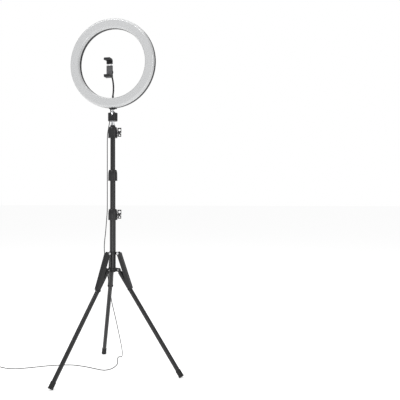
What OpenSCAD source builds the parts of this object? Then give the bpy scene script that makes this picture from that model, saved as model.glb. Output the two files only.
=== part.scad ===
// Ring light on a folding tripod stand, with a phone clamp on a gooseneck.
// Origin: on the floor, on the axis of the pole. +Z is up, and the light faces -Y.

/* [Ring head] */
// Outer diameter of the ring
ring_d = 330; // [300:1:340]
// Diameter of the hole in the ring
hole_d = 257; // [240:1:265]
// Depth of the black rear casing
casing_depth = 16.5; // [16:0.5:18]
// How far the opal cover stands proud of the casing
dome_h = 11.5; // [9:0.5:14]
// Height of the ring's centre above the floor
ring_z = 1145.5; // [1145.5:0.5:1150]

/* [Pole] */
// Diameter of the lower tube
lower_tube_d = 22; // [22:0.1:22.4]
// Diameter of the middle tube
middle_tube_d = 19.6; // [19.4:0.1:19.6]
// Diameter of the upper tube
upper_tube_d = 17.8; // [17.6:0.1:17.8]
// Diameter of the chrome rod at the top
rod_d = 14; // [13:0.1:14]
// Underside of the lower collar
lower_collar_z = 566; // [560:1:570]
// Underside of the middle collar
middle_collar_z = 711; // [700:1:715]
// Underside of the top collar
top_collar_z = 870; // [860:1:872]
// Outer diameter of the collars
collar_d = 34; // [33:0.5:35]

/* [Tripod] */
// Angle of the legs from vertical, opened out
leg_spread = 32.5; // [30:0.5:34]
// Diameter of a leg tube
leg_d = 16; // [15:0.5:16]
// Height of the leg pivots
hub_z = 382; // [380:1:384]
// Height of the brace pivots on the sliding bracket
bracket_z = 443; // [441:1:445]
// Distance down a leg from its pivot to the brace's rivet
brace_joint = 82; // [78:1:84]

/* [Ball head] */
// Height of the ball's centre
ball_z = 957; // [957:1:958]
// Diameter of the ball
ball_d = 25; // [24:0.5:25]
// Diameter of the housing
housing_d = 35; // [35:0.5:36]
// Direction of the slot that the stem drops into
slot_angle = -80; // [-90:5:-70]
// Direction of the locking knob
knob_angle = 110; // [100:5:115]

/* [Phone clamp] */
// Width of the clamp
clamp_w = 22; // [20:0.5:24]
// Clear height between the jaws
jaw_gap = 54.5; // [50:0.5:56]

/* [Cord] */
// Diameter of the cord
cord_d = 3; // [2.6:0.1:3.2]

/* [Hidden] */
$fn = 64;

plastic = "#232425";
satin_black = "#2b2c2d";
chrome = "#d8dadd";
rubber = "#17181a";
opal = "#eeeeec";
brass = "#b89a55";
cord_grey = "#6f6f70";

gap = 0.08;             // running clearance between a pin and its hole
slip = 0.3;             // clearance between pieces that move past each other

// ---- pole ----
tube_wall = 0.8;
collar_h = 40.5;
seat_h = 12;            // how far a tube is pushed into its collar
wing_z = 18;            // height of a wing screw above its collar's underside
wing_angle = 20;        // direction of the lower and top wings
wing_angle_back = 120;  // direction of the middle wing
lower_r = lower_tube_d / 2;
middle_r = middle_tube_d / 2;
upper_r = upper_tube_d / 2;
rod_r = rod_d / 2;
lower_tube_bottom = hub_z - 7;
middle_tube_bottom = 500;
upper_tube_bottom = 640;
rod_bottom = 690;
neck_h = 6;             // plain neck on top of the top collar
rod_top = 923;
shank_r = 5.3;          // chrome shank between rod and ball head

// A tube standing on z0
module tube(r, wall, z0, z1) {
    translate([0, 0, z0]) difference() {
        cylinder(r = r, h = z1 - z0);
        translate([0, 0, -1]) cylinder(r = r - wall, h = z1 - z0 + 2);
    }
}

// Outline of a collar: rim, straight skirt, then a curved shoulder
collar_r = collar_d / 2;
shoulder_z = 20;
top_r = 12.6;
skirt_r = collar_r - 0.4;
collar_outline = concat(
    [[0, 0], [collar_r - 0.6, 0], [collar_r, 0.6], [collar_r, 2.6], [skirt_r, 3], [skirt_r, shoulder_z]],
    [for (a = [12:12:84]) [top_r + (skirt_r - top_r) * cos(a), shoulder_z + (collar_h - shoulder_z) * sin(a)]],
    [[top_r - 0.8, collar_h], [0, collar_h]]);

// A collar that is fixed on a tube of radius r_tube and guides one of radius r_slide
module collar(z, r_tube, r_slide, angle, neck = 0) {
    bush_r = r_slide + 1.4;
    translate([0, 0, z]) difference() {
        union() {
            rotate_extrude($fn = 96) polygon(collar_outline);
            cylinder(r = 9.2, h = collar_h + neck);
            rotate([0, 0, angle]) translate([0, 0, wing_z]) rotate([0, 90, 0])
                cylinder(r = 5, h = collar_r + 0.9);
        }
        translate([0, 0, -1]) cylinder(r = r_tube + 0.05, h = seat_h + 1);
        translate([0, 0, seat_h - 0.1]) cylinder(r = r_slide + 0.5, h = collar_h);
        translate([0, 0, 26]) cylinder(r = bush_r + 0.05, h = 12);
        rotate([0, 0, angle]) translate([0, 0, wing_z]) rotate([0, 90, 0]) cylinder(r = 3 + gap, h = 40);
    }
}

// The plastic ring inside a collar that the next tube slides in
module guide_bush(z, r_slide) {
    tube(r_slide + 1.4, 1.35, z + 26, z + 38);
}

// The plastic plug on the foot of a sliding tube
module tube_foot(z, r_in, r_bore) {
    translate([0, 0, z - 6]) cylinder(r = r_bore, h = 6);
    translate([0, 0, z - 1]) cylinder(r = r_in, h = 11);
}

// Wing handle with two finger loops, and the screw that it is moulded on
wing_x0 = 18.4;
wing_x1 = 31.4;
wing_t = 4.4;
module wing(z, angle, tip) {
    loop_x = (wing_x0 + wing_x1) / 2;
    translate([0, 0, z + wing_z]) rotate([0, 0, angle]) difference() {
        union() {
            translate([tip, 0, 0]) rotate([0, 90, 0]) cylinder(r = 3, h = wing_x0 - tip + 1);
            translate([wing_x0, 0, 0]) rotate([0, 90, 0]) cylinder(r = 4.4, h = 8);
            translate([wing_x0, -wing_t / 2, 1.2]) cube([wing_x1 - wing_x0, wing_t, 18.6]);
            translate([wing_x0 + 1, -wing_t / 2, -13.2]) cube([wing_x1 - wing_x0 - 1.5, wing_t, 12]);
            translate([wing_x0 - 1.2, -wing_t / 2, 6]) cube([4, wing_t, 13.8]);
            translate([wing_x0 - 1.2, -wing_t / 2, -13.2]) cube([4, wing_t, 7.2]);
        }
        translate([loop_x, -10, 11.6]) rotate([-90, 0, 0]) cylinder(r = 4.4, h = 20);
        translate([loop_x, -10, -7.8]) rotate([-90, 0, 0]) cylinder(r = 2.8, h = 20);
    }
}

module lower_tube() {
    color(satin_black) tube(lower_r, tube_wall, lower_tube_bottom, lower_collar_z + seat_h - 0.1);
}
module lower_collar() {
    color(plastic) collar(lower_collar_z, lower_r, middle_r, wing_angle);
}
module lower_guides() {
    color(rubber) {
        guide_bush(lower_collar_z, middle_r);
        translate([0, 0, lower_tube_bottom - 1.6]) cylinder(r = lower_r - tube_wall - 0.1, h = 12);
    }
}
module middle_tube() {
    color(satin_black) tube(middle_r, 0.7, middle_tube_bottom, middle_collar_z + seat_h - 0.1);
}
module middle_collar() {
    color(plastic) collar(middle_collar_z, middle_r, upper_r, wing_angle_back);
}
module middle_guides() {
    color(rubber) {
        guide_bush(middle_collar_z, upper_r);
        tube_foot(middle_tube_bottom, middle_r - 0.75, lower_r - tube_wall - gap);
    }
}
module upper_tube() {
    color(satin_black) tube(upper_r, 0.7, upper_tube_bottom, top_collar_z + seat_h - 0.1);
}
module top_collar() {
    color(plastic) collar(top_collar_z, upper_r, rod_r, wing_angle, neck_h);
}
module upper_guides() {
    color(rubber) {
        guide_bush(top_collar_z, rod_r);
        tube_foot(upper_tube_bottom, upper_r - 0.75, middle_r - 0.7 - gap);
    }
}
module lower_wing() {
    color(plastic) wing(lower_collar_z, wing_angle, middle_r + 0.2);
}
module middle_wing() {
    color(plastic) wing(middle_collar_z, wing_angle_back, upper_r + 0.2);
}
module top_wing() {
    color(plastic) wing(top_collar_z, wing_angle, rod_r + 0.2);
}

// ---- centre rod: chrome tube, end cap with a groove, shank and screw ----
housing_bottom = 932;
screw_r = 3.1;
module centre_rod() {
    color(chrome) {
        tube(rod_r, 1, rod_bottom, rod_top - 5);
        rotate_extrude() polygon([[0, rod_top - 13], [rod_r - 1.05, rod_top - 13], [rod_r - 1.05, rod_top - 5],
            [rod_r, rod_top - 5], [rod_r, rod_top - 0.8], [rod_r - 0.8, rod_top],
            [4.2, rod_top], [4.2, rod_top + 1.2],
            [shank_r, rod_top + 1.8], [shank_r, housing_bottom - 0.1], [screw_r, housing_bottom - 0.1],
            [screw_r, housing_bottom + 5.5], [0, housing_bottom + 5.5]]);
    }
}

// ---- tripod ----
leg_angles = [0, 120, 240];
leg_pivot_r = 23;
bracket_pivot_r = 22;
pin_r = 2;
head_t = 9;             // thickness of a leg's head, between the hub's ears
ear_t = 2.2;
ear_gap = head_t + 2 * slip;
lug_w = ear_gap + 2 * ear_t;
leg_r = leg_d / 2;
joint_x = leg_pivot_r + brace_joint * sin(leg_spread);
joint_z = hub_z - brace_joint * cos(leg_spread);
brace_lean = atan2(joint_x - bracket_pivot_r, bracket_z - joint_z);
brace_l = (bracket_z - joint_z) / cos(brace_lean);
channel_in = leg_d + 2 * slip;
channel_t = 1;
foot_r = 9.4;
foot_l = (hub_z + 1 - foot_r * sin(leg_spread)) / cos(leg_spread);

module cross_pin(x, z, r, w) {
    translate([x, w / 2, z]) rotate([90, 0, 0]) cylinder(r = r, h = w);
}
module each_leg() {
    for (a = leg_angles) rotate([0, 0, a]) children();
}
// Puts a leg's own frame, with the leg along -Z, at its pivot
module in_leg(k) {
    rotate([0, 0, leg_angles[k - 1]]) translate([leg_pivot_r, 0, hub_z]) rotate([0, -leg_spread, 0])
        children();
}

module leg_hub() {
    color(plastic) difference() {
        union() {
            translate([0, 0, hub_z - 6]) cylinder(r = 13.4, h = 12);
            translate([0, 0, hub_z - 6]) cylinder(r = 17, h = 2);
            translate([0, 0, hub_z + 4]) cylinder(r = 17, h = 2);
            each_leg() for (s = [-1, 1]) {
                translate([12, s * (ear_gap + ear_t) / 2 - ear_t / 2, hub_z - 6]) cube([4.6, ear_t, 12]);
                translate([16, s * (ear_gap + ear_t) / 2 - ear_t / 2, hub_z - 6]) cube([7, ear_t, 12]);
                cross_pin_ear(s);
            }
        }
        translate([0, 0, hub_z - 20]) cylinder(r = lower_r + 0.05, h = 40);
        each_leg() cross_pin(leg_pivot_r, hub_z, pin_r, 40);
        each_leg() translate([15.4, -ear_gap / 2, hub_z - 10]) cube([20, ear_gap, 20]);
    }
}
module cross_pin_ear(s) {
    translate([leg_pivot_r, s * (ear_gap + ear_t) / 2 + ear_t / 2, hub_z]) rotate([90, 0, 0])
        cylinder(r = 6, h = ear_t);
}
module hub_pins() {
    color(chrome) each_leg() cross_pin(leg_pivot_r, hub_z, pin_r, lug_w - 0.2);
}

bracket_h = 9;
module brace_bracket() {
    color(plastic) difference() {
        union() {
            translate([0, 0, bracket_z - bracket_h / 2]) cylinder(r = 13, h = bracket_h);
            for (dz = [-bracket_h / 2, bracket_h / 2 - 1.8]) each_leg()
                translate([11, -lug_w / 2, bracket_z + dz]) cube([9, lug_w, 1.8]);
            each_leg() translate([17.6, -lug_w / 2, bracket_z - bracket_h / 2])
                cube([bracket_pivot_r - 17.6, lug_w, bracket_h]);
            each_leg() cross_pin(bracket_pivot_r, bracket_z, bracket_h / 2, lug_w);
        }
        translate([0, 0, bracket_z - 20]) cylinder(r = lower_r + gap, h = 40);
        each_leg() cross_pin(bracket_pivot_r, bracket_z, 1.6, 40);
    }
}
module bracket_rivets() {
    outer = channel_in + 2 * channel_t + 2 * slip;
    color(chrome) each_leg() {
        cross_pin(bracket_pivot_r, bracket_z, 1.6, outer);
        for (s = [-1, 1]) translate([bracket_pivot_r, s * (outer / 2 + 0.4) + 0.4, bracket_z])
            rotate([90, 0, 0]) cylinder(r = 4.3, h = 0.8);
    }
}

// A leg: the tube, the head that pivots in the hub, and the rivet that holds its brace
module leg(k) {
    outer = channel_in + 2 * channel_t + 2 * slip;
    in_leg(k) {
        difference() {
            translate([0, 0, -foot_l + 8]) cylinder(r = leg_r, h = foot_l - 19);
            translate([0, 0, -foot_l]) cylinder(r = leg_r - 0.9, h = foot_l);
        }
        difference() {
            union() {
                cross_pin(0, 0, 5.4, head_t);
                translate([-5, -head_t / 2, -12]) cube([10, head_t, 12]);
                translate([0, 0, -26]) cylinder(r = leg_r - 1, h = 16);
                translate([0, 0, -11]) cylinder(r = leg_r, h = 1.4);
            }
            cross_pin(0, 0, pin_r + gap, 40);
        }
        cross_pin(0, -brace_joint, pin_r, outer);
        for (s = [-1, 1]) translate([0, s * (outer / 2 + 0.5) + 0.5, -brace_joint])
            rotate([90, 0, 0]) cylinder(r = 3.6, h = 1);
    }
}
module foot_cap(k) {
    difference() {
        in_leg(k) difference() {
            union() {
                translate([0, 0, -foot_l]) cylinder(r = foot_r, h = 26);
                translate([0, 0, -foot_l]) cylinder(r = foot_r + 0.5, h = 4);
            }
            translate([0, 0, -foot_l + 7.9]) cylinder(r = leg_r + 0.03, h = 30);
        }
        translate([-500, -500, -50]) cube([1000, 1000, 50]);
    }
}

// A brace: a channel that straddles the leg, its web outwards
module brace(k) {
    end_r = 6;
    web_x = 8.6;
    out = channel_in + 2 * channel_t;
    in_brace(k) difference() {
        union() {
            cross_pin(0, 0, end_r, out);
            cross_pin(0, brace_l, end_r, out);
            translate([-4, -out / 2, 0]) cube([web_x + channel_t + 4, out, brace_l]);
        }
        translate([-30, -channel_in / 2, -50]) cube([30 + web_x, channel_in, brace_l + 100]);
        cross_pin(0, 0, pin_r + gap, 60);
        cross_pin(0, brace_l, 3.2, 60);
    }
}
module in_brace(k) {
    rotate([0, 0, leg_angles[k - 1]]) translate([joint_x, 0, joint_z]) rotate([0, -brace_lean, 0]) children();
}
module leg_1() { color(satin_black) leg(1); }
module leg_2() { color(satin_black) leg(2); }
module leg_3() { color(satin_black) leg(3); }
module foot_cap_1() { color(rubber) foot_cap(1); }
module foot_cap_2() { color(rubber) foot_cap(2); }
module foot_cap_3() { color(rubber) foot_cap(3); }
module brace_1() { color(satin_black) brace(1); }
module brace_2() { color(satin_black) brace(2); }
module brace_3() { color(satin_black) brace(3); }

// ---- ball head ----
housing_r = housing_d / 2;
housing_top = ball_z + 5;
cup_bottom = housing_bottom + 4.5;
ball_r = ball_d / 2;
stem_r = 3.5;
knob_r = 15;
knob_x0 = 24;
knob_x1 = 35;
module ball_housing() {
    color(plastic) difference() {
        translate([0, 0, cup_bottom]) cylinder(r = housing_r, h = housing_top - cup_bottom, $fn = 96);
        translate([0, 0, ball_z]) sphere(r = ball_r + gap);
        translate([0, 0, cup_bottom + 3]) cylinder(r = 11, h = ball_z - 5 - cup_bottom - 3);
        translate([0, 0, cup_bottom - 1]) cylinder(r = screw_r + gap, h = 10);
        rotate([0, 0, slot_angle]) translate([0, -stem_r - 0.5, ball_z]) cube([40, 2 * stem_r + 1, 20]);
        rotate([0, 0, slot_angle]) translate([0, 0, ball_z]) rotate([0, 90, 0])
            cylinder(r = stem_r + 0.5, h = 40);
        rotate([0, 0, knob_angle]) translate([0, 0, ball_z - 2]) rotate([0, 90, 0])
            cylinder(r = 3 + gap, h = 40);
        rotate([0, 0, slot_angle - 4]) translate([housing_r - 2, 0, cup_bottom + 4]) rotate([0, 90, 0])
            cylinder(r = 1, h = 10);
    }
}
module housing_base_ring() {
    color(plastic) difference() {
        union() {
            translate([0, 0, housing_bottom]) cylinder(r = housing_r - 0.8, h = 4.4, $fn = 96);
            translate([0, 0, housing_bottom + 0.8]) cylinder(r = housing_r - 0.2, h = 2.6, $fn = 96);
        }
        translate([0, 0, housing_bottom - 1]) cylinder(r = screw_r + gap, h = 10);
    }
}
module ball_seat() {
    color(opal) difference() {
        translate([0, 0, cup_bottom + 3.1]) cylinder(r = 10.9, h = 9.2);
        translate([0, 0, ball_z]) sphere(r = ball_r + gap);
        translate([0, 0, cup_bottom]) cylinder(r = 4, h = 30);
    }
}
module ball_stem() {
    color(chrome) {
        difference() {
            translate([0, 0, ball_z]) sphere(r = ball_r);
            translate([0, 0, ball_z - 30]) cylinder(r = 20, h = 19.5);
        }
        translate([0, 0, ball_z + 10]) cylinder(r = stem_r, h = 7.3);
        translate([0, 0, ball_z + 10]) cylinder(r = screw_r, h = 13);
    }
}
// Knob with eight flats, on its screw
module ball_knob() {
    translate([0, 0, ball_z - 2]) rotate([0, 0, knob_angle]) rotate([0, 90, 0]) {
        color(plastic) difference() {
            union() {
                translate([0, 0, knob_x0]) cylinder(r = 8, h = 2.1);
                translate([0, 0, knob_x0 + 2]) cylinder(r = knob_r, h = knob_x1 - knob_x0 - 4);
                translate([0, 0, knob_x1 - 2.1]) cylinder(r = knob_r - 2.5, h = 2.1);
            }
            for (a = [0:45:315]) rotate([0, 0, a]) translate([knob_r + 3.2, 0, knob_x0 - 1])
                cylinder(r = 4.6, h = 20);
            translate([0, 0, knob_x0 - 1]) cylinder(r = 3.02, h = 8);
        }
        color(chrome) translate([0, 0, ball_r + 0.6]) cylinder(r = 3, h = knob_x0 - ball_r + 6.3);
    }
}

// ---- ring head: everything is turned about the Y axis; h is the distance in front of the pole ----
ring_r = ring_d / 2;
hole_r = hole_d / 2;
rim_h = 7;              // front edge of the casing, in front of the pole's axis
back_h = rim_h - casing_depth;
wall = 2;
edge = 3;
band_mid = (ring_r + hole_r) / 2;
screw_count = 8;
screw_start = 22.5;
board_h = back_h + 10;
module about_ring(fn = 180) {
    translate([0, 0, ring_z]) rotate([90, 0, 0]) rotate_extrude($fn = fn) children();
}
module around(count, start, r, h) {
    for (k = [0:count - 1]) translate([0, 0, ring_z]) rotate([90, 0, 0])
        rotate([0, 0, start + 360 * k / count]) translate([r, 0, h]) children();
}
module casing_shell() {
    outside = [[ring_r, rim_h], [ring_r, back_h + edge], [ring_r - edge * 0.8, back_h],
        [hole_r + edge * 0.8, back_h], [hole_r, back_h + edge], [hole_r, rim_h]];
    inside = [[hole_r + wall, rim_h], [hole_r + wall, back_h + edge + 0.6], [hole_r + edge, back_h + wall],
        [ring_r - edge, back_h + wall], [ring_r - wall, back_h + edge + 0.6], [ring_r - wall, rim_h]];
    about_ring() polygon(concat(outside, inside));
}
module rear_casing() {
    color(plastic) difference() {
        union() {
            casing_shell();
            around(screw_count, screw_start, band_mid, back_h + 1)
                cylinder(r = 4.6, h = board_h - back_h - 1.02);
        }
        around(screw_count, screw_start, band_mid, back_h + wall) cylinder(r = 2.75, h = 20);
        around(screw_count, screw_start, band_mid, back_h - 1) cylinder(r = 1.6, h = 6);
        around(screw_count, screw_start, band_mid, back_h - 1) cylinder(r = 3, h = 2);
        for (s = [-1, 1]) translate([s * 8.5, 0, ring_z - ring_r - 1]) cylinder(r = 1.55, h = 5);
        translate([0, neck_y0, ring_z - hole_r - 4]) cylinder(r = 2.95, h = 8);
        translate([gland_x, -back_h + 1, ring_z - ring_r + 10]) rotate([90, 0, 0]) cylinder(r = 2.4, h = 5);
    }
}
// Opal cover: flat front, round shoulders, lips inside the casing, and pegs for the screws
shoulder = 7.5;
front_h = rim_h + dome_h;
inner_lip = 2.2;
lip_t = 1.4;
function arc(cx, cy, rx, ry, a0, a1, n) =
    [for (k = [0:n]) let (a = a0 + (a1 - a0) * k / n) [cx + rx * cos(a), cy + ry * sin(a)]];
module diffuser() {
    outer = concat(arc(ring_r - 0.2 - shoulder, rim_h + 0.3, shoulder, dome_h - 0.3, 0, 90, 8),
        arc(hole_r + 0.2 + shoulder, rim_h + 0.3, shoulder, dome_h - 0.3, 90, 180, 8));
    skirt = inner_lip + lip_t - 0.2;
    inner = concat(
        arc(hole_r + 0.2 + shoulder, rim_h + 0.3, shoulder - skirt, dome_h - 0.3 - wall, 180, 90, 8),
        arc(ring_r - 0.2 - shoulder, rim_h + 0.3, shoulder - skirt, dome_h - 0.3 - wall, 90, 0, 8));
    color(opal) {
        about_ring() polygon(concat(outer,
            [for (p = [[0, 0.3], [0, -3], [lip_t, -3]]) [hole_r + inner_lip + p[0], rim_h + p[1]]], inner,
            [for (p = [[lip_t, -3], [0, -3], [0, 0.3]]) [ring_r - inner_lip - p[0], rim_h + p[1]]]));
        around(screw_count, screw_start, band_mid, back_h + wall + 0.1) difference() {
            union() {
                cylinder(r = 2.65, h = board_h - back_h - wall + 2);
                translate([0, 0, board_h + 1.5 - back_h - wall])
                    cylinder(r = 3.6, h = front_h - board_h - 1.5 - wall);
            }
            translate([0, 0, -1]) cylinder(r = 1.25, h = 9);
        }
    }
}
module led_board() {
    color("white") difference() {
        translate([0, 0, ring_z]) rotate([90, 0, 0]) translate([0, 0, board_h]) difference() {
            cylinder(r = ring_r - 5.5, h = 1.6, $fn = 180);
            translate([0, 0, -1]) cylinder(r = hole_r + 5, h = 4, $fn = 180);
        }
        around(screw_count, screw_start, band_mid, board_h - 1) cylinder(r = 2.75, h = 4);
    }
}
led_count = 60;
module led_chips() {
    color("#f6dc7c") for (row = [-1, 1]) around(led_count, 0, band_mid + row * 7, board_h + 1.6)
        translate([-1.4, -1.75, 0]) cube([2.8, 3.5, 0.8]);
}
module ring_fasteners() {
    color(chrome) around(screw_count, screw_start, band_mid, back_h + 0.1) {
        cylinder(r = 2.9, h = 0.9);
        cylinder(r = 1.25, h = 9);
    }
    color(chrome) for (s = [-1, 1]) translate([s * 8.5, 0, ring_z - ring_r - 2.5]) {
        cylinder(r = 1.5, h = 5.7);
        translate([0, 0, 5.1]) cylinder(r = 2.7, h = 1.4);
    }
    color(brass) difference() {
        translate([0, 0, saddle_bottom - 2.9]) cylinder(r = 4.4, h = 5.8);
        translate([0, 0, saddle_bottom - 5]) cylinder(r = screw_r + gap, h = 12);
    }
}
saddle_bottom = ring_z - ring_r - 3;
module ring_saddle() {
    color(plastic) difference() {
        union() {
            translate([-13, -7, saddle_bottom]) cube([26, 16, 4.7]);
            translate([0, 0, saddle_bottom - 3]) cylinder(r = 6.6, h = 4);
        }
        translate([0, 50, ring_z]) rotate([90, 0, 0]) cylinder(r = ring_r + 0.02, h = 100, $fn = 180);
        translate([0, 0, saddle_bottom - 5]) cylinder(r = 4.42, h = 20);
        for (s = [-1, 1]) translate([s * 8.5, 0, saddle_bottom + 0.4]) cylinder(r = 1.52, h = 10);
    }
}
gland_x = -14;
gland_y = 13.5;
gland_tip = ring_z - ring_r - 6.5;
module cord_gland() {
    color(rubber) {
        translate([gland_x - 4.6, -back_h + 0.02, ring_z - ring_r + 4]) cube([9.2, 8, 11]);
        translate([gland_x, gland_y, gland_tip + 2.5]) cylinder(r1 = 2.3, r2 = 3.4, h = 9);
        translate([gland_x, gland_y, gland_tip]) cylinder(r = 1.9, h = 3);
        translate([gland_x, -back_h + 0.5, ring_z - ring_r + 10]) rotate([90, 0, 0])
            cylinder(r = 2.35, h = 2.2);
    }
}

// ---- gooseneck: three links on one arc, each turning on a ball in the link before ----
neck_y0 = 1;
neck_z0 = ring_z - hole_r + 10;
neck_r = 2.75;
bead_r = 3.05;         // balls between the links of the neck
neck_bend = 66.5;        // radius of the arc at rest
neck_lean = [24, 4, -17, -38]; // heading from vertical at each ball, positive towards +Y
function neck_y(h) = neck_y0 + neck_bend * (cos(h) - cos(neck_lean[0]));
function neck_z(h) = neck_z0 + neck_bend * (sin(neck_lean[0]) - sin(h));
ferrule_l = 13;
ferrule_lean = -42;
ball_y = neck_y(neck_lean[3]) + (ferrule_l + 4) * sin(ferrule_lean);
clamp_z = neck_z(neck_lean[3]) + (ferrule_l + 4) * cos(ferrule_lean);
module neck_tube(k) {
    translate([0, neck_y0 - neck_bend * cos(neck_lean[0]), neck_z0 + neck_bend * sin(neck_lean[0])])
        rotate([90, 0, 90]) rotate([0, 0, -neck_lean[k]])
        rotate_extrude(angle = neck_lean[k] - neck_lean[k + 1]) translate([neck_bend, 0]) circle(r = neck_r);
}
module neck_ball(k, r) {
    translate([0, neck_y(neck_lean[k]), neck_z(neck_lean[k])]) sphere(r = r);
}
module neck_link(k) {
    difference() {
        union() {
            neck_tube(k);
            neck_ball(k, bead_r);
        }
        neck_ball(k + 1, bead_r + gap);
    }
}
module gooseneck_socket() {
    base_z = ring_z - hole_r;
    color(plastic) difference() {
        union() {
            translate([0, neck_y0, base_z - 2.4]) cylinder(r = 2.9, h = 4);
            translate([0, neck_y0, base_z + 0.1]) cylinder(r = 4.6, h = 1.5);
            translate([0, neck_y0, base_z + 1]) cylinder(r = 3.5, h = neck_z0 - base_z - 1.9);
        }
        neck_ball(0, bead_r + gap);
    }
}
module neck_link_1() { color(rubber) neck_link(0); }
module neck_link_2() { color(rubber) neck_link(1); }
cup_ball_r = 5;
module along_ferrule() {
    translate([0, neck_y(neck_lean[3]), neck_z(neck_lean[3])]) rotate([-ferrule_lean, 0, 0]) children();
}
module neck_ferrule() {
    color(rubber) {
        neck_tube(2);
        neck_ball(2, bead_r);
        along_ferrule() {
            rotate_extrude() polygon([[0, -1], [3.4, -1], [3.6, 0], [5.2, 7], [5.2, 8], [2.8, 11],
                [2.2, 13], [2.2, 14], [0, 14]]);
        }
    }
    color(plastic) along_ferrule() translate([0, 0, ferrule_l + 4]) sphere(r = cup_ball_r);
}

// ---- phone clamp: it faces -Y, and its ball joint is behind it ----
module facing(y) {
    translate([0, y, clamp_z]) rotate([90, 0, 0]) children();
}
cup_l = 8;
plate_y = ball_y - cup_l - 0.3;   // back of the clamp
plate_t = 6.4;
jaw_reach = 32;
jaw_t = 7.6;
body_h = 46;
body_z0 = clamp_z - body_h / 2;
jaw_rest = 6;                     // gap between the two halves at rest
jaw_z0 = body_z0 + body_h + jaw_rest;
jaw_top = body_z0 + jaw_t + jaw_gap + 8;
rod_x = 6;
clamp_rod_r = 1.5;
rod_y = plate_y - plate_t / 2;
corner = 8;
module phone_cup() {
    color(plastic) {
        difference() {
            facing(ball_y + 0.5) cylinder(r = 6.4, h = cup_l + 0.4);
            facing(ball_y) sphere(r = cup_ball_r + gap);
        }
        facing(ball_y - cup_l + 0.2) cylinder(r = 3, h = 3.2);
    }
}
module clamp_nut() {
    bore = 6.4 + gap;
    color(plastic) facing(ball_y + 0.3) {
        rotate_extrude() polygon([[bore, 0], [7.2, 0], [11, 3.9], [11, cup_l + 0.1], [bore, cup_l + 0.1]]);
        for (a = [0:30:330]) rotate([0, 0, a]) translate([10.7, 0, 4.4]) cylinder(r = 1.1, h = 3.2);
    }
}
// Side view of an L-shaped half: z0 to z1 high, with an arm reaching forwards at one end
module half_outline(z0, z1, arm_up) {
    far = plate_y - jaw_reach;
    za = arm_up ? z1 - jaw_t : z0;
    corner_z = arm_up ? z1 - corner : z0 + corner;
    tip = arm_up ? z1 : z0;
    difference() {
        union() {
            translate([plate_y - plate_t, arm_up ? z0 : z0 + corner]) square([plate_t, z1 - z0 - corner]);
            translate([far + 2, za]) square([jaw_reach - 2 - corner, jaw_t]);
            intersection() {
                translate([plate_y - corner, corner_z]) circle(r = corner);
                translate([plate_y - corner, tip - (arm_up ? corner : 0)]) square([corner, corner]);
            }
            translate([far, za + (arm_up ? -1.6 : 2.4)]) square([3.2, jaw_t - 0.8]);
        }
    }
}
module half(z0, z1, arm_up) {
    translate([-clamp_w / 2, 0, 0]) rotate([90, 0, 90]) linear_extrude(clamp_w) half_outline(z0, z1, arm_up);
}
module clamp_body() {
    color(plastic) difference() {
        half(body_z0, body_z0 + body_h, false);
        facing(plate_y + 1) cylinder(r = 3 + gap, h = 4.2);
        for (s = [-1, 1]) {
            translate([s * rod_x, rod_y, body_z0 + 6]) cylinder(r = 2.5, h = body_h - 12);
            translate([s * rod_x, rod_y, body_z0 + 6]) cylinder(r = clamp_rod_r + gap, h = body_h);
        }
    }
}
module clamp_pad() {
    color("#55565a") translate([-clamp_w / 2 + 0.8, plate_y - plate_t - 1.1, body_z0 + jaw_t + 0.8])
        cube([clamp_w - 1.6, 1.1, body_h - jaw_t - 1.4]);
}
module clamp_jaw() {
    color(plastic) difference() {
        half(jaw_z0, jaw_top, true);
        for (s = [-1, 1]) translate([s * rod_x, rod_y, jaw_z0 - 1]) cylinder(r = clamp_rod_r, h = 12);
    }
}
rod_foot = body_z0 + 7;
module clamp_rods() {
    color(chrome) for (s = [-1, 1]) translate([s * rod_x, rod_y, rod_foot]) {
        cylinder(r = clamp_rod_r - 0.01, h = jaw_z0 + 10.9 - rod_foot);
        cylinder(r = 2.45, h = 1.2);
    }
}
module clamp_springs() {
    coil_pitch = 2.2;
    spring_z0 = rod_foot + 1.4;
    spring_h = body_z0 + body_h - 6.2 - spring_z0;
    color(chrome) for (s = [-1, 1]) translate([s * rod_x, rod_y, spring_z0]) difference() {
        union() {
            cylinder(r = 2.15, h = spring_h);
            for (z = [0:coil_pitch:spring_h - 1]) translate([0, 0, z]) cylinder(r = 2.4, h = 0.9);
        }
        translate([0, 0, -1]) cylinder(r = clamp_rod_r + 0.2, h = spring_h + 2);
    }
}

// ---- cord ----
cord_r = cord_d / 2;
cord_sides = 8;
// From the gland down beside the pole
upper_route = [[-14, 13.5, 974], [-14.1, 13.5, 969], [-15, 13.4, 959], [-16.2, 13.2, 947],
    [-17.2, 11, 930], [-18.6, 5, 910], [-19.2, -1, 892], [-18.9, -5.6, 874], [-18.6, -7.4, 856],
    [-18.6, -7.6, 830], [-18.5, -7.6, 790], [-18.6, -7.6, 750], [-18.6, -7.6, 710],
    [-18.5, -7.6, 675], [-18.5, -7.6, 644], [-18.6, -7.8, 612]];
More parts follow.
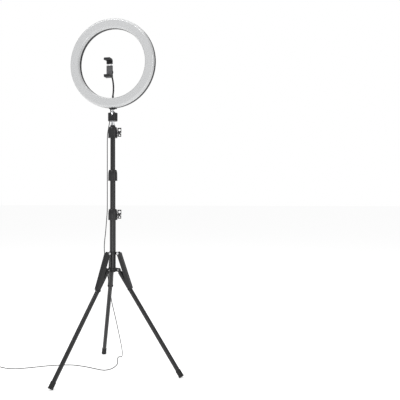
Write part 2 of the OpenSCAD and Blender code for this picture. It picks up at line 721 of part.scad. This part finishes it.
// On past the lower collar and down between the legs to the floor, then out to the left
lower_route = [[-18.6, -7.8, 611.9], [-19, -7.8, 596], [-20.8, -7.6, 572], [-23.5, -7.4, 542],
    [-26, -7.4, 515], [-29, -7.6, 490], [-31.2, -6, 462], [-32, 0, 434], [-32, 7, 406],
    [-29.5, 13, 378], [-26, 19, 345], [-20, 20, 307], [-16.6, 30, 258], [-14.5, 46, 220],
    [-13.5, 64, 183], [-12, 98, 110], [-20, 144, 50], [-31, 176, 18], [-39, 192, 5],
    [-46, 199, 1.6], [-53, 195, 1.6], [-51, 178, 1.6], [-38, 144, 1.6], [-24, 106, 1.6],
    [-19, 74, 1.6], [-20, 46, 1.6], [-29, 25, 1.6], [-46, 16, 1.6], [-80, 25, 1.6], [-130, 41, 1.6],
    [-176, 49, 1.6], [-212, 44, 1.6], [-267, 22, 1.6], [-329, -19, 1.6], [-372, -43, 1.6],
    [-412, -46, 1.6], [-449, -35, 1.6], [-466, -32, 2.6], [-480, -33, 5]];
coil_at = [-496, -48, 5.6];
coil_r = 18;
controller_at = [-520, -120, 0];
plug_at = [-497, -204, 0];
tail_route = [[-511, -57, 5], [-518, -66, 5], [-520, -76, 6], [-520, -90.5, 6]];
plug_route = [[-520, -149.5, 6], [-520, -162, 5], [-515, -176, 2], [-504, -188, 2], [-498, -196, 4],
    [-497, -204, 4.6]];
// Points of a smooth curve through a route: Catmull-Rom, n steps to a span
function at(p, i) = p[max(0, min(len(p) - 1, i))];
function spline(p, n) = concat([for (i = [0:len(p) - 2]) for (k = [0:n - 1])
    let (t = k / n, a = at(p, i - 1), b = p[i], c = p[i + 1], d = at(p, i + 2))
    0.5 * (2 * b + (c - a) * t + (2 * a - 5 * b + 4 * c - d) * t * t
        + (3 * b - a - 3 * c + d) * t * t * t)], [p[len(p) - 1]]);
function unit(v) = v / norm(v);
function heading(p, i) = unit(at(p, i + 1) - at(p, i - 1));
// A frame carried along the curve without twisting
function frames(p, i, n0) = i >= len(p) ? [] :
    let (t = heading(p, i), n = unit(n0 - (n0 * t) * t)) concat([[n, cross(t, n)]], frames(p, i + 1, n));
module sweep(p, r, sides, n0) {
    f = frames(p, 0, n0);
    rings = len(p);
    points = [for (i = [0:rings - 1]) for (k = [0:sides - 1])
        p[i] + r * (cos(360 * k / sides) * f[i][0] + sin(360 * k / sides) * f[i][1])];
    walls = [for (i = [0:rings - 2]) for (k = [0:sides - 1])
        let (a = i * sides + k, b = i * sides + (k + 1) % sides)
        each [[a, a + sides, b + sides], [a, b + sides, b]]];
    first = [for (k = [1:sides - 2]) [0, k, k + 1]];
    e = (rings - 1) * sides;
    last = [for (k = [1:sides - 2]) [e, e + k + 1, e + k]];
    polyhedron(points, concat(walls, first, last));
}
module cord_upper() {
    color(cord_grey) sweep(spline(upper_route, 2), cord_r, cord_sides, [1, 0, 0]);
}
module cord_lower() {
    color(cord_grey) {
        sweep(spline(lower_route, 2), cord_r, cord_sides, [1, 0, 0]);
        sweep(spline(tail_route, 2), cord_r, cord_sides, [1, 0, 0]);
        sweep(spline(plug_route, 2), cord_r, cord_sides, [1, 0, 0]);
    }
}
// The rest of the cord, wound up and lying on the floor
module cord_coil() {
    color(cord_grey) translate(coil_at) rotate_extrude() translate([coil_r, 0]) circle(r = 5.4, $fn = 32);
}

// ---- controller in the cord, and the plug ----
box_w = 23;
box_l = 62;
box_h = 12;
box_wall = 1.5;
split_h = 6;
button_r = 3.6;
button_pitch = 17;
button_top = box_h + 1.2;
button_travel = 0.8;
module in_controller() {
    translate(controller_at) children();
}
// Box with rounded upright corners
module rounded(w, l, h, r) {
    translate([-w / 2 + r, -l / 2, 0]) cube([w - 2 * r, l, h]);
    translate([-w / 2, -l / 2 + r, 0]) cube([w, l - 2 * r, h]);
    for (x = [-w / 2 + r, w / 2 - r], y = [-l / 2 + r, l / 2 - r]) translate([x, y, 0])
        cylinder(r = r, h = h, $fn = 32);
}
module cord_bush(s) {
    translate([0, s * (box_l / 2 - 3), split_h]) rotate([-s * 90, 0, 0]) cylinder(r1 = 3.6, r2 = 2.4, h = 3.5);
}
module controller_base() {
    color(plastic) in_controller() difference() {
        union() {
            rounded(box_w, box_l, split_h, 4);
            for (x = [-7, 7], y = [-24, 24]) translate([x, y, 1]) cylinder(r = 2, h = split_h - 1);
        }
        translate([0, 0, box_wall]) difference() {
            rounded(box_w - 2 * box_wall, box_l - 2 * box_wall, box_h, 3);
            for (x = [-7, 7], y = [-24, 24]) translate([x, y, -1]) cylinder(r = 2, h = 2.5);
        }
        for (s = [-1, 1]) translate([0, s * (box_l / 2 - 3), split_h]) rotate([-s * 90, 0, 0])
            cylinder(r = cord_r + 0.05, h = 8);
    }
}
module controller_board() {
    color("#2c6b45") in_controller() {
        translate([-9, -26, box_wall + 1.52]) cube([18, 52, 1.4]);
        for (y = [-1, 0, 1]) translate([-2.5, y * button_pitch - 2.5, box_wall + 2.9]) cube([5, 5, 1.2]);
    }
}
module controller_cover() {
    color(plastic) in_controller() difference() {
        translate([0, 0, split_h + 0.02]) rounded(box_w, box_l, box_h - split_h, 4);
        translate([0, 0, split_h - 1])
            rounded(box_w - 2 * box_wall, box_l - 2 * box_wall, box_h - split_h + 1 - box_wall, 3);
        for (y = [-1, 0, 1]) translate([0, y * button_pitch, split_h]) cylinder(r = button_r + gap, h = 20);
        for (s = [-1, 1]) translate([0, s * (box_l / 2 - 3), split_h]) rotate([-s * 90, 0, 0])
            cylinder(r = cord_r + 0.05, h = 8);
    }
}
module button(y) {
    color(cord_grey) in_controller() translate([0, y * button_pitch, 0]) {
        translate([0, 0, box_wall + 4.1 + button_travel + 0.1]) cylinder(r = 1.5, h = 4);
        translate([0, 0, box_h - box_wall - 1.2])
            cylinder(r = button_r, h = button_top - box_h + box_wall + 1.2);
        translate([0, 0, box_h - box_wall - 1.2]) cylinder(r = button_r + 1.2, h = 1.1);
    }
}
module power_button() { button(1); }
module brighter_button() { button(0); }
module dimmer_button() { button(-1); }
plug_w = 15.8;
plug_l = 26;
plug_h = 8.6;
module in_plug() {
    translate(plug_at) children();
}
module usb_plug_body() {
    color(plastic) in_plug() difference() {
        union() {
            translate([0, -plug_l / 2 - 6, 0]) rounded(plug_w, plug_l, plug_h, 2);
            translate([0, 0, 4.6]) rotate([90, 0, 0]) cylinder(r1 = 2.4, r2 = 3.6, h = 6.5);
        }
        translate([-6.02, -plug_l - 7, 2.02]) cube([12.04, 10, 4.54]);
    }
}
module usb_plug_shell() {
    color(chrome) in_plug() translate([0, -plug_l - 18, 4.3]) difference() {
        translate([-6, 0, -2.25]) cube([12, 20.8, 4.5]);
        translate([-5.7, -1, -1.95]) cube([11.4, 14, 3.9]);
    }
    color(opal) in_plug() translate([-5.4, -plug_l - 17, 4.5]) cube([10.8, 12, 1.7]);
}

lower_tube();
leg_hub();
hub_pins();
lower_collar();
lower_guides();
cord_lower();
cord_coil();
cord_upper();
controller_base();
controller_cover();
controller_board();
power_button();
brighter_button();
dimmer_button();
usb_plug_body();
usb_plug_shell();
lower_wing();
middle_wing();
top_wing();
brace_bracket();
bracket_rivets();
leg_1();
leg_2();
leg_3();
foot_cap_1();
foot_cap_2();
foot_cap_3();
brace_1();
brace_2();
brace_3();
middle_tube();
middle_collar();
middle_guides();
upper_tube();
top_collar();
upper_guides();
centre_rod();
ball_housing();
housing_base_ring();
ball_seat();
ball_knob();
ball_stem();
rear_casing();
diffuser();
led_board();
led_chips();
ring_fasteners();
ring_saddle();
cord_gland();
gooseneck_socket();
neck_link_1();
neck_link_2();
neck_ferrule();
phone_cup();
clamp_nut();
clamp_body();
clamp_pad();
clamp_jaw();
clamp_rods();
clamp_springs();
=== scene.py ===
import bpy
import math
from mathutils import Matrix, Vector


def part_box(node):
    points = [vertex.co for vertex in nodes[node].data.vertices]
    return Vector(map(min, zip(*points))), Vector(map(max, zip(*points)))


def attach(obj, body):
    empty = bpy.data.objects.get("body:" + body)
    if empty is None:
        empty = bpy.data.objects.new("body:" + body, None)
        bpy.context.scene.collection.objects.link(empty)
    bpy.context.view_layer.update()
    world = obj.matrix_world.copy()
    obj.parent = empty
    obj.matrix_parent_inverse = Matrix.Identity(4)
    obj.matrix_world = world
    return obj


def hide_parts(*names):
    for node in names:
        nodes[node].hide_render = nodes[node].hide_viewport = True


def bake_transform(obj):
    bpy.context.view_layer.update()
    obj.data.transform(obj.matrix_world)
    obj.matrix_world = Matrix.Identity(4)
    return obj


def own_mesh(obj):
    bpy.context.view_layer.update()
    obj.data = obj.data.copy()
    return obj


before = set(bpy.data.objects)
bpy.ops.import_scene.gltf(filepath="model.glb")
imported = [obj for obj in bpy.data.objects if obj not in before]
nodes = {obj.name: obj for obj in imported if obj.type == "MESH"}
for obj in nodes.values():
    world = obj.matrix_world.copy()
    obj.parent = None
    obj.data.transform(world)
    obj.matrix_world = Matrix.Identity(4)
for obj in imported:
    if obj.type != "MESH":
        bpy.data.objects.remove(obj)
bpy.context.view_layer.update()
MM = 0.001


# ---- camera ----
cam_data = bpy.data.cameras.new("camera")
cam = bpy.data.objects.new("camera", cam_data)
bpy.context.scene.collection.objects.link(cam)
cam_data.lens = 50.0
cam_data.sensor_width = 36.0
cam.location = (0.785, -1.931, 0.64)
cam.rotation_euler = (math.radians(90), 0, math.atan2(0.2284, 0.9736))
bpy.context.scene.camera = cam


# ---- small mesh helpers ----
def mesh_object(name, verts, faces, smooth=True):
    mesh = bpy.data.meshes.new(name)
    mesh.from_pydata([tuple(v) for v in verts], [], faces)
    mesh.validate()
    mesh.update()
    for p in mesh.polygons:
        p.use_smooth = smooth
    obj = bpy.data.objects.new(name, mesh)
    bpy.context.scene.collection.objects.link(obj)
    return obj


def spline(points, steps):
    """Catmull-Rom curve through the points, with that many steps to a span."""
    pts = [Vector(p) for p in points]
    out = []
    for i in range(len(pts) - 1):
        a, b = pts[max(0, i - 1)], pts[i]
        c, d = pts[i + 1], pts[min(len(pts) - 1, i + 2)]
        for k in range(steps):
            t = k / steps
            out.append(0.5 * (2 * b + (c - a) * t + (2 * a - 5 * b + 4 * c - d) * t * t
                              + (3 * b - a - 3 * c + d) * t ** 3))
    out.append(pts[-1])
    return out


def tube(name, path, radius, sides=16):
    """A closed tube along a path. radius is a number, or a function of the distance along it."""
    grow = radius if callable(radius) else (lambda d: radius)
    verts, faces = [], []
    n = Vector((1, 0, 0))
    dist = 0.0
    for i, p in enumerate(path):
        t = (path[min(i + 1, len(path) - 1)] - path[max(i - 1, 0)]).normalized()
        n = (n - n.dot(t) * t).normalized()
        b = t.cross(n)
        if i:
            dist += (p - path[i - 1]).length
        for k in range(sides):
            a = 2 * math.pi * k / sides
            verts.append(p + grow(dist) * (math.cos(a) * n + math.sin(a) * b))
    for i in range(len(path) - 1):
        for k in range(sides):
            a, b2 = i * sides + k, i * sides + (k + 1) % sides
            faces.append((a, b2, b2 + sides, a + sides))
    faces.append(tuple(reversed(range(sides))))
    faces.append(tuple(range((len(path) - 1) * sides, len(path) * sides)))
    return mesh_object(name, verts, faces)


def lathe(name, profile, origin, axis, sides=48):
    """A turned piece. profile is a list of (distance along the axis, radius)."""
    axis = Vector(axis).normalized()
    side = Vector((0, 0, 1)) if abs(axis.z) < 0.9 else Vector((1, 0, 0))
    u = axis.cross(side).normalized()
    v = axis.cross(u)
    verts, faces = [], []
    for h, r in profile:
        for k in range(sides):
            a = 2 * math.pi * k / sides
            verts.append(Vector(origin) + h * axis + r * (math.cos(a) * u + math.sin(a) * v))
    for i in range(len(profile) - 1):
        for k in range(sides):
            a, b = i * sides + k, i * sides + (k + 1) % sides
            faces.append((a, b, b + sides, a + sides))
    return mesh_object(name, verts, faces)


def bar(name, low, high, bevel=0.0002):
    """A box with softened edges."""
    x0, y0, z0 = low
    x1, y1, z1 = high
    verts = [(x, y, z) for x in (x0, x1) for y in (y0, y1) for z in (z0, z1)]
    faces = [(0, 1, 3, 2), (4, 6, 7, 5), (0, 4, 5, 1), (2, 3, 7, 6), (0, 2, 6, 4), (1, 5, 7, 3)]
    obj = mesh_object(name, verts, faces, smooth=False)
    mod = obj.modifiers.new("soft_edges", "BEVEL")
    mod.width = bevel
    mod.segments = 2
    return obj


# ---- materials ----
def material(name, colour, rough, metal=0.0, vary=0.12, rough_vary=0.08, scale=40.0, grain=600.0,
             bump=0.08, coat=0.0, stretch=(1, 1, 1), spec=0.5, edge=0.0004):
    """Principled surface with mottled colour and roughness, fine grain and rounded edges."""
    mat = bpy.data.materials.new(name)
    mat.use_nodes = True
    tree = mat.node_tree
    link = tree.links.new
    bsdf = tree.nodes["Principled BSDF"]
    bsdf.inputs["Metallic"].default_value = metal
    bsdf.inputs["Coat Weight"].default_value = coat
    bsdf.inputs["Coat Roughness"].default_value = 0.12
    bsdf.inputs["Specular IOR Level"].default_value = spec
    coords = tree.nodes.new("ShaderNodeTexCoord")
    mapping = tree.nodes.new("ShaderNodeMapping")
    mapping.inputs["Scale"].default_value = stretch
    link(coords.outputs["Object"], mapping.inputs["Vector"])
    mottle = tree.nodes.new("ShaderNodeTexNoise")
    mottle.inputs["Scale"].default_value = scale
    mottle.inputs["Detail"].default_value = 6.0
    link(mapping.outputs["Vector"], mottle.inputs["Vector"])
    ramp = tree.nodes.new("ShaderNodeValToRGB")
    ramp.color_ramp.elements[0].position = 0.3
    ramp.color_ramp.elements[1].position = 0.7
    ramp.color_ramp.elements[0].color = [c * (1 - vary) for c in colour] + [1]
    ramp.color_ramp.elements[1].color = [min(1, c * (1 + vary)) for c in colour] + [1]
    link(mottle.outputs["Fac"], ramp.inputs["Fac"])
    link(ramp.outputs["Color"], bsdf.inputs["Base Color"])
    span = tree.nodes.new("ShaderNodeMapRange")
    span.inputs["To Min"].default_value = max(0.02, rough - rough_vary)
    span.inputs["To Max"].default_value = rough + rough_vary
    link(mottle.outputs["Fac"], span.inputs["Value"])
    link(span.outputs["Result"], bsdf.inputs["Roughness"])
    fine = tree.nodes.new("ShaderNodeTexNoise")
    fine.inputs["Scale"].default_value = grain
    fine.inputs["Detail"].default_value = 3.0
    link(mapping.outputs["Vector"], fine.inputs["Vector"])
    relief = tree.nodes.new("ShaderNodeBump")
    relief.inputs["Strength"].default_value = bump
    relief.inputs["Distance"].default_value = 0.0002
    link(fine.outputs["Fac"], relief.inputs["Height"])
    if edge:
        round_edge = tree.nodes.new("ShaderNodeBevel")
        round_edge.inputs["Radius"].default_value = edge
        round_edge.samples = 4
        link(round_edge.outputs["Normal"], relief.inputs["Normal"])
    link(relief.outputs["Normal"], bsdf.inputs["Normal"])
    return mat


casing_black = material("casing_black", (0.014, 0.014, 0.015), 0.46, bump=0.12, spec=0.35)
moulded_black = material("moulded_black", (0.012, 0.012, 0.013), 0.38, bump=0.10, spec=0.35)
collar_black = material("collar_black", (0.014, 0.014, 0.015), 0.33, bump=0.08, spec=0.4)
tube_black = material("tube_black", (0.012, 0.012, 0.013), 0.30, bump=0.04, spec=0.45,
                      stretch=(1, 1, 0.06), grain=900)
leg_black = material("leg_black", (0.012, 0.012, 0.013), 0.34, bump=0.05, spec=0.4, stretch=(1, 1, 0.1))
chrome_bright = material("chrome_bright", (0.86, 0.87, 0.89), 0.09, metal=1.0, vary=0.03, rough_vary=0.03,
                         bump=0.01, stretch=(1, 1, 0.2))
steel_plated = material("steel_plated", (0.62, 0.62, 0.63), 0.28, metal=1.0, vary=0.05, bump=0.03)
rubber_black = material("rubber_black", (0.012, 0.012, 0.012), 0.66, bump=0.2, grain=900, spec=0.35)
opal_white = material("opal_white", (0.50, 0.505, 0.51), 0.16, vary=0.015, rough_vary=0.03, scale=9,
                      bump=0.003, grain=1500, coat=1.0, edge=0)
inner_white = material("inner_white", (0.80, 0.80, 0.78), 0.45, vary=0.03)
pad_rubber = material("pad_rubber", (0.10, 0.10, 0.105), 0.66, bump=0.15)
cord_sleeve = material("cord_sleeve", (0.030, 0.030, 0.032), 0.46, bump=0.08, scale=90)
button_grey = material("button_grey", (0.20, 0.20, 0.21), 0.50)
board_white = material("board_white", (0.80, 0.82, 0.80), 0.35, vary=0.05)
board_green = material("board_green", (0.03, 0.15, 0.07), 0.32, vary=0.2)
phosphor = material("phosphor", (0.85, 0.66, 0.20), 0.40, vary=0.10)
brass_metal = material("brass_metal", (0.72, 0.55, 0.25), 0.25, metal=1.0)

finish_of = {
    "rear_casing": casing_black, "ring_saddle": moulded_black, "gooseneck_socket": moulded_black,
    "lower_collar": collar_black, "middle_collar": collar_black, "top_collar": collar_black,
    "lower_wing": moulded_black, "middle_wing": moulded_black, "top_wing": moulded_black,
    "leg_hub": moulded_black, "brace_bracket": moulded_black, "ball_housing": moulded_black,
    "housing_base_ring": moulded_black, "ball_knob": moulded_black, "phone_cup": moulded_black,
    "clamp_nut": moulded_black, "clamp_body": moulded_black, "clamp_jaw": moulded_black,
    "controller_base": moulded_black, "controller_cover": moulded_black, "usb_plug_body": moulded_black,
    "lower_tube": tube_black, "middle_tube": tube_black, "upper_tube": tube_black,
    "leg_1": leg_black, "leg_2": leg_black, "leg_3": leg_black,
    "brace_1": leg_black, "brace_2": leg_black, "brace_3": leg_black,
    "centre_rod": chrome_bright, "ball_stem": chrome_bright, "clamp_rods": chrome_bright,
    "hub_pins": steel_plated, "bracket_rivets": steel_plated, "ring_fasteners": steel_plated,
    "clamp_springs": steel_plated, "usb_plug_shell": steel_plated,
    "lower_guides": rubber_black, "middle_guides": rubber_black, "upper_guides": rubber_black,
    "foot_cap_1": rubber_black, "foot_cap_2": rubber_black, "foot_cap_3": rubber_black,
    "cord_gland": rubber_black, "neck_link_1": rubber_black, "neck_link_2": rubber_black,
    "neck_ferrule": rubber_black, "diffuser": opal_white, "ball_seat": inner_white,
    "clamp_pad": pad_rubber, "cord_lower": cord_sleeve, "cord_upper": cord_sleeve,
    "cord_coil": cord_sleeve, "power_button": button_grey, "brighter_button": button_grey,
    "dimmer_button": button_grey, "led_board": board_white, "controller_board": board_green,
    "led_chips": phosphor,
}


def paint(obj, mat):
    obj.data.materials.clear()
    obj.data.materials.append(mat)


for name, obj in nodes.items():
    paint(obj, finish_of[name])

# ---- cord: its pieces follow one another from the gland to the plug ----
CORD_D = 3 * MM
upper_route = [(-14, 13.5, 974), (-14.1, 13.5, 969), (-15, 13.4, 959), (-16.2, 13.2, 947),
               (-17.2, 11, 930), (-18.6, 5, 910), (-19.2, -1, 892), (-18.9, -5.6, 874), (-18.6, -7.4, 856),
               (-18.6, -7.6, 830), (-18.5, -7.6, 790), (-18.6, -7.6, 750), (-18.6, -7.6, 710),
               (-18.5, -7.6, 675), (-18.5, -7.6, 644), (-18.6, -7.8, 612)]
lower_route = [(-18.6, -7.8, 612), (-19, -7.8, 596), (-20.8, -7.6, 572), (-23.5, -7.4, 542),
               (-26, -7.4, 515), (-29, -7.6, 490), (-31.2, -6, 462), (-32, 0, 434), (-32, 7, 406),
               (-29.5, 13, 378), (-26, 19, 345), (-20, 20, 307), (-16.6, 30, 258), (-14.5, 46, 220),
               (-13.5, 64, 183), (-12, 98, 110), (-20, 144, 50), (-31, 176, 18), (-39, 192, 5),
               (-46, 199, 1.6), (-53, 195, 1.6), (-51, 178, 1.6), (-38, 144, 1.6), (-24, 106, 1.6),
               (-19, 74, 1.6), (-20, 46, 1.6), (-29, 25, 1.6), (-46, 16, 1.6), (-80, 25, 1.6),
               (-130, 41, 1.6), (-176, 49, 1.6), (-212, 44, 1.6), (-267, 22, 1.6), (-329, -19, 1.6),
               (-372, -43, 1.6), (-412, -46, 1.6), (-449, -35, 1.6), (-466, -32, 2.6), (-480.3, -33.4, 5.6)]
whole = spline([Vector(p) * MM for p in upper_route + lower_route[1:]], 12)


def cord_piece(name, path):
    piece = tube(name, path, CORD_D / 2)
    paint(piece, cord_sleeve)
    return piece


# each hanging piece crosses one joint: the body above it, the body below it, and the height it ends at
hanging = [("ring", "ball", 944), ("ball", "ball_head", 913), ("ball_head", "rod", 880),
           ("rod", "upper_section", 845), ("upper_section", "middle_section", 670),
           ("middle_section", "stand", 495)]
HUNG_ABOVE, HUNG_RIGHT_OF = 494 * MM, -50 * MM
hung = [p for p in whole if p.z > HUNG_ABOVE and p.x > HUNG_RIGHT_OF]
start = 0
for upper_body, lower_body, z_low in hanging:
    stop = start
    while stop < len(hung) - 1 and hung[stop].z > z_low * MM:
        stop += 1
    path = hung[start:stop + 1]
    piece = cord_piece("cord_" + upper_body, path)
    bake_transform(piece)
    start = stop
rest = whole[start:]
main_run = cord_piece("cord_to_coil", rest)

# wound part, then on to the controller
coil_centre = Vector((-496, -48, 5.6)) * MM
wound = []
turn_from, turn_to = math.radians(43), math.radians(211 + 4 * 360)
count = 220
for k in range(count + 1):
    a = turn_from + (turn_to - turn_from) * k / count
    b = (a - turn_from) / 5
    r = (18 + 3.4 * math.cos(b)) * MM
    wound.append(coil_centre + Vector((r * math.cos(a), r * math.sin(a), 3.4 * MM * math.sin(b))))
tail = spline([wound[-1]] + [Vector(p) * MM for p in ((-517.6, -67, 4), (-519.7, -78, 6), (-520, -90, 6))], 8)
wound_piece = cord_piece("cord_wound", wound + tail[1:])
plug_route = [(-520, -149.5, 6), (-520, -162, 5), (-515, -176, 2), (-504, -188, 2), (-498, -196, 4),
              (-497, -204, 4.6)]
plug_run = cord_piece("cord_to_plug", spline([Vector(p) * MM for p in plug_route], 8))
for piece in (main_run, wound_piece, plug_run):
    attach(piece, "stand")
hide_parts("cord_lower")
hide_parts("cord_coil")
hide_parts("cord_upper")

# ---- ribbed hose of the gooseneck ----
neck_lean = [24, 4, -17, -38]
bend = 66.5 * MM
base_y, base_z = 0.001, 1.027


def neck_point(deg):
    h, h0 = math.radians(deg), math.radians(neck_lean[0])
    return Vector((0, base_y + bend * (math.cos(h) - math.cos(h0)),
                   base_z + bend * (math.sin(h0) - math.sin(h))))


def ribbed(d):
    return (2.72 + 0.34 * abs(math.sin(math.pi * d / 0.0021))) * MM


for k in range(3):
    lo, hi = neck_lean[k], neck_lean[k + 1]
    n = 130
    path = [neck_point(lo + (hi - lo) * i / n) for i in range(n + 1)]
    hose = tube("hose_%d" % (k + 1), path, ribbed, sides=24)
    paint(hose, rubber_black)
    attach(hose, "neck_%d" % (k + 1))
    if k < 2:
        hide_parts("neck_link_%d" % (k + 1))

# ---- ribs on the clamp's pad ----
low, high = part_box("clamp_pad")
count = 9
for k in range(count):
    x = low.x + (high.x - low.x) * (k + 0.5) / count
    rib = bar("pad_rib_%d" % (k + 1), (x - 0.0007, low.y - 0.0005, low.z + 0.001),
              (x + 0.0007, low.y, high.z - 0.001))
    paint(rib, pad_rubber)
    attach(rib, "clamp")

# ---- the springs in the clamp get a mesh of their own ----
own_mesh(nodes["clamp_springs"])

# ---- bright studs between the collars and their wing handles ----
for name, body, z, deg in (("lower", "lower_clamp", 0.584, 20), ("middle", "middle_clamp", 0.729, 120),
                           ("top", "top_clamp", 0.888, 20)):
    a = math.radians(deg)
    stud = lathe(name + "_stud", [(0.0181, 0.0031), (0.0181, 0.0046), (0.0189, 0.0046), (0.0189, 0.0031)],
                 (0, 0, z), (math.cos(a), math.sin(a), 0))
    paint(stud, chrome_bright)
    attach(stud, body)

# ---- stage and light ----
FLOOR_HALF = 60
FLOOR_GLOW = 0.50
BACKDROP_STRENGTH = 1.0
ROOM_STRENGTH = 0.48
floor = mesh_object("floor", [(-FLOOR_HALF, -FLOOR_HALF, 0), (FLOOR_HALF, -FLOOR_HALF, 0),
                              (FLOOR_HALF, FLOOR_HALF, 0), (-FLOOR_HALF, FLOOR_HALF, 0)], [(0, 1, 2, 3)])
floor_white = material("floor_white", (0.975, 0.975, 0.975), 0.8, vary=0.003, bump=0.0, edge=0)
# the floor glows a little, like a lit paper sweep, so that it meets the backdrop without an edge
glow = floor_white.node_tree.nodes["Principled BSDF"]
glow.inputs["Emission Color"].default_value = (1, 1, 1, 1)
glow.inputs["Emission Strength"].default_value = FLOOR_GLOW
glow.inputs["Specular IOR Level"].default_value = 0.0
paint(floor, floor_white)

world = bpy.data.worlds.new("studio")
bpy.context.scene.world = world
world.use_nodes = True
# a white backdrop; the room the object itself sees is dimmer overhead and at the sides
room = world.node_tree
backdrop = room.nodes["Background"]
backdrop.inputs["Color"].default_value = (1, 1, 1, 1)
backdrop.inputs["Strength"].default_value = BACKDROP_STRENGTH
dim = room.nodes.new("ShaderNodeBackground")
dim.inputs["Color"].default_value = (1, 1, 1, 1)
dim.inputs["Strength"].default_value = ROOM_STRENGTH
seen = room.nodes.new("ShaderNodeLightPath")
mix = room.nodes.new("ShaderNodeMixShader")
room.links.new(seen.outputs["Is Camera Ray"], mix.inputs["Fac"])
room.links.new(dim.outputs["Background"], mix.inputs[1])
room.links.new(backdrop.outputs["Background"], mix.inputs[2])
room.links.new(mix.outputs["Shader"], room.nodes["World Output"].inputs["Surface"])


def softbox(name, at, look_at, size, power):
    data = bpy.data.lights.new(name, "AREA")
    data.shape = "RECTANGLE"
    data.size, data.size_y = size
    data.energy = power
    light = bpy.data.objects.new(name, data)
    bpy.context.scene.collection.objects.link(light)
    light.location = at
    light.rotation_euler = (Vector(look_at) - Vector(at)).to_track_quat("-Z", "Y").to_euler()


softbox("key", (-0.9, -2.5, 3.1), (0, 0, 0.9), (2.0, 0.9), 40)
softbox("low_front", (0.6, -3.2, 0.30), (0, 0, 1.0), (2.4, 0.35), 9)
softbox("right_strip", (2.6, -1.4, 1.3), (0, 0, 0.8), (0.4, 2.2), 10)
softbox("top", (0, 0.3, 3.2), (0, 0, 0.6), (2.2, 2.2), 22)
bpy.context.scene.view_settings.view_transform = "Standard"
